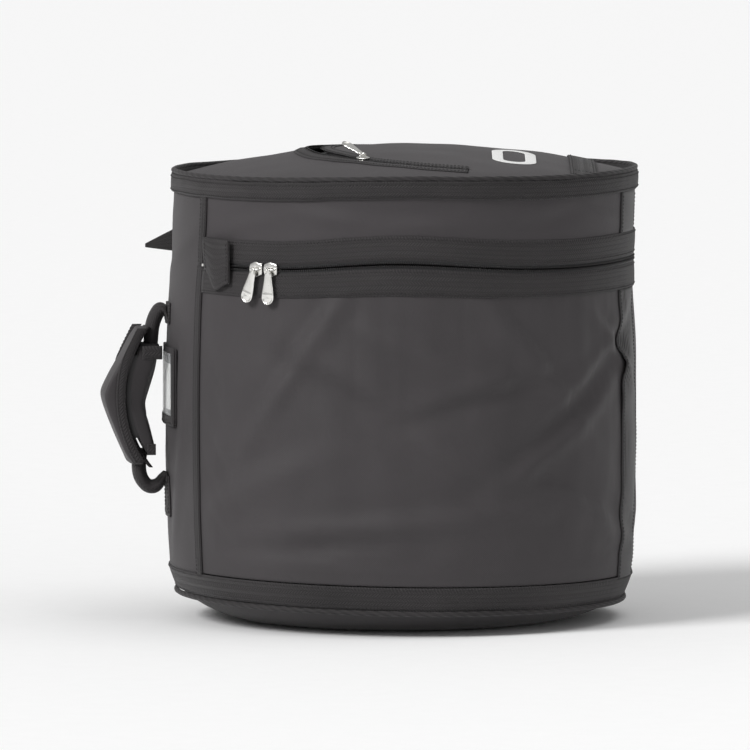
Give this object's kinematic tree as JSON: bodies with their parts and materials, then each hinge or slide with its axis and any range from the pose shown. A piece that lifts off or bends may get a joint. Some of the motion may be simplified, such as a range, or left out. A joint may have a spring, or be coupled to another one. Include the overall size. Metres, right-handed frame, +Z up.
{
  "type": "padded drum bag",
  "caption": "Round padded fabric bag for a drum, with a zipped lid hinged at the side, a wrapped grab handle, an address pocket and a curved zip pocket in its domed lid.",
  "frame": {"origin": "middle of the flat foot under the base, on the bag's upright axis, where it stands on the floor", "axes": "+Z up along the bag's axis, -Y to the front, -X towards the grab handle and the lid's hinge panel"},
  "size_m": [0.5146, 0.452, 0.4627],
  "materials": {
    "nylon": "plain-weave charcoal nylon, slight sheen",
    "webbing": "herringbone webbing tape, matt",
    "foam": "closed-cell foam sheet, matt",
    "lining": "smooth knitted lining",
    "zip_teeth": "moulded coil, satin",
    "nickel": "bright nickel plate with fine scratches",
    "card": "blank white card",
    "clear_film": "clear vinyl film",
    "white_print": "plain printed ink"
  },
  "bodies": {
    "bag": {"body_shell": "nylon", "hinge_panel_lower": "nylon", "body_foam": "foam", "body_lining": "lining", "base_panel": "nylon", "base_foam": "foam", "base_lining": "lining", "bottom_rim_tape": "webbing", "bottom_rim_piping": "webbing", "front_seam_lower": "webbing", "rear_seam_lower": "webbing", "lower_zip_tape": "webbing", "lower_zip_teeth": "zip_teeth", "zip_end_stops": "nickel", "side_strap_lower": "webbing", "upper_handle_patch": "webbing", "lower_handle_patch": "webbing", "id_backing": "nylon", "id_frame": "webbing", "id_window": "clear_film"},
    "lid": {"lid_band_shell": "nylon", "hinge_panel_upper": "nylon", "lid_band_foam": "foam", "lid_band_lining": "lining", "lid_panel": "nylon", "pocket_lining": "lining", "lid_foam": "foam", "lid_lining": "lining", "top_rim_tape": "webbing", "top_rim_piping": "webbing", "front_seam_upper": "webbing", "rear_seam_upper": "webbing", "upper_zip_tape": "webbing", "upper_zip_teeth": "zip_teeth", "side_strap_upper": "webbing", "lid_strap": "webbing", "lid_print": "white_print", "pocket_zip_tape": "webbing", "pocket_zip_teeth": "zip_teeth"},
    "left_slider": {"left_slider": "nickel"},
    "left_pull": {"left_pull": "nickel"},
    "right_slider": {"right_slider": "nickel"},
    "right_pull": {"right_pull": "nickel"},
    "pocket_slider": {"pocket_slider": "nickel"},
    "pocket_pull": {"pocket_pull": "nickel"},
    "handle": {"handle_webbing": "webbing", "grip_outer_pad": "nylon", "grip_inner_pad": "nylon", "grip_outer_binding": "webbing", "grip_inner_binding": "webbing", "grip_fastener": "lining"},
    "id_card": {"id_card": "card"},
    "front_tab": {"front_tab": "webbing"},
    "rear_tab": {"rear_tab": "webbing"}
  },
  "joints": [
    {"name": "lid_hinge", "type": "hinge", "parent": "bag", "child": "lid", "pos_m": [-0.22277, -0.02341, 0.346], "axis": [0.1045, -0.9945, 0], "range_deg": [0, 100]},
    {"name": "left_slider_run", "type": "hinge", "parent": "bag", "child": "left_slider", "pos_m": [0, 0, 0.346], "axis": [0, 0, 1], "range_deg": [-3, 0]},
    {"name": "right_slider_run", "type": "hinge", "parent": "bag", "child": "right_slider", "pos_m": [0, 0, 0.346], "axis": [0, 0, 1], "range_deg": [0, 278]},
    {"name": "left_pull_swing", "type": "hinge", "parent": "left_slider", "child": "left_pull", "pos_m": [-0.1401, -0.18127, 0.346], "axis": [-0.7912, 0.6115, 0], "range_deg": [0, 165]},
    {"name": "right_pull_swing", "type": "hinge", "parent": "right_slider", "child": "right_pull", "pos_m": [-0.12612, -0.19126, 0.346], "axis": [-0.8348, 0.5505, 0], "range_deg": [0, 165]},
    {"name": "pocket_slider_run", "type": "hinge", "parent": "lid", "child": "pocket_slider", "pos_m": [0.062, -0.011, 0.45172], "axis": [0.0713, -0.0126, 0.9974], "range_deg": [-94, 38]},
    {"name": "pocket_pull_swing", "type": "hinge", "parent": "pocket_slider", "child": "pocket_pull", "pos_m": [-0.04061, -0.12068, 0.45078], "axis": [0.6827, 0.7186, 0.132], "range_deg": [-20, 130]},
    {"name": "handle_swing", "type": "hinge", "parent": "bag", "child": "handle", "pos_m": [-0.22854, -0.02402, 0.215], "axis": [0, 0, 1], "range_deg": [-20, 20]},
    {"name": "card_slide", "type": "slide", "parent": "bag", "child": "id_card", "axis": [0, 0, 1], "range_m": [0, 0.04]},
    {"name": "front_tab_flap", "type": "hinge", "parent": "lid", "child": "front_tab", "pos_m": [-0.18612, -0.12554, 0.35], "axis": [0, 0, -1], "range_deg": [0, 70]},
    {"name": "rear_tab_flap", "type": "hinge", "parent": "lid", "child": "rear_tab", "pos_m": [-0.21312, 0.07338, 0.35], "axis": [0, 0, -1], "range_deg": [-30, 75]}
  ]
}
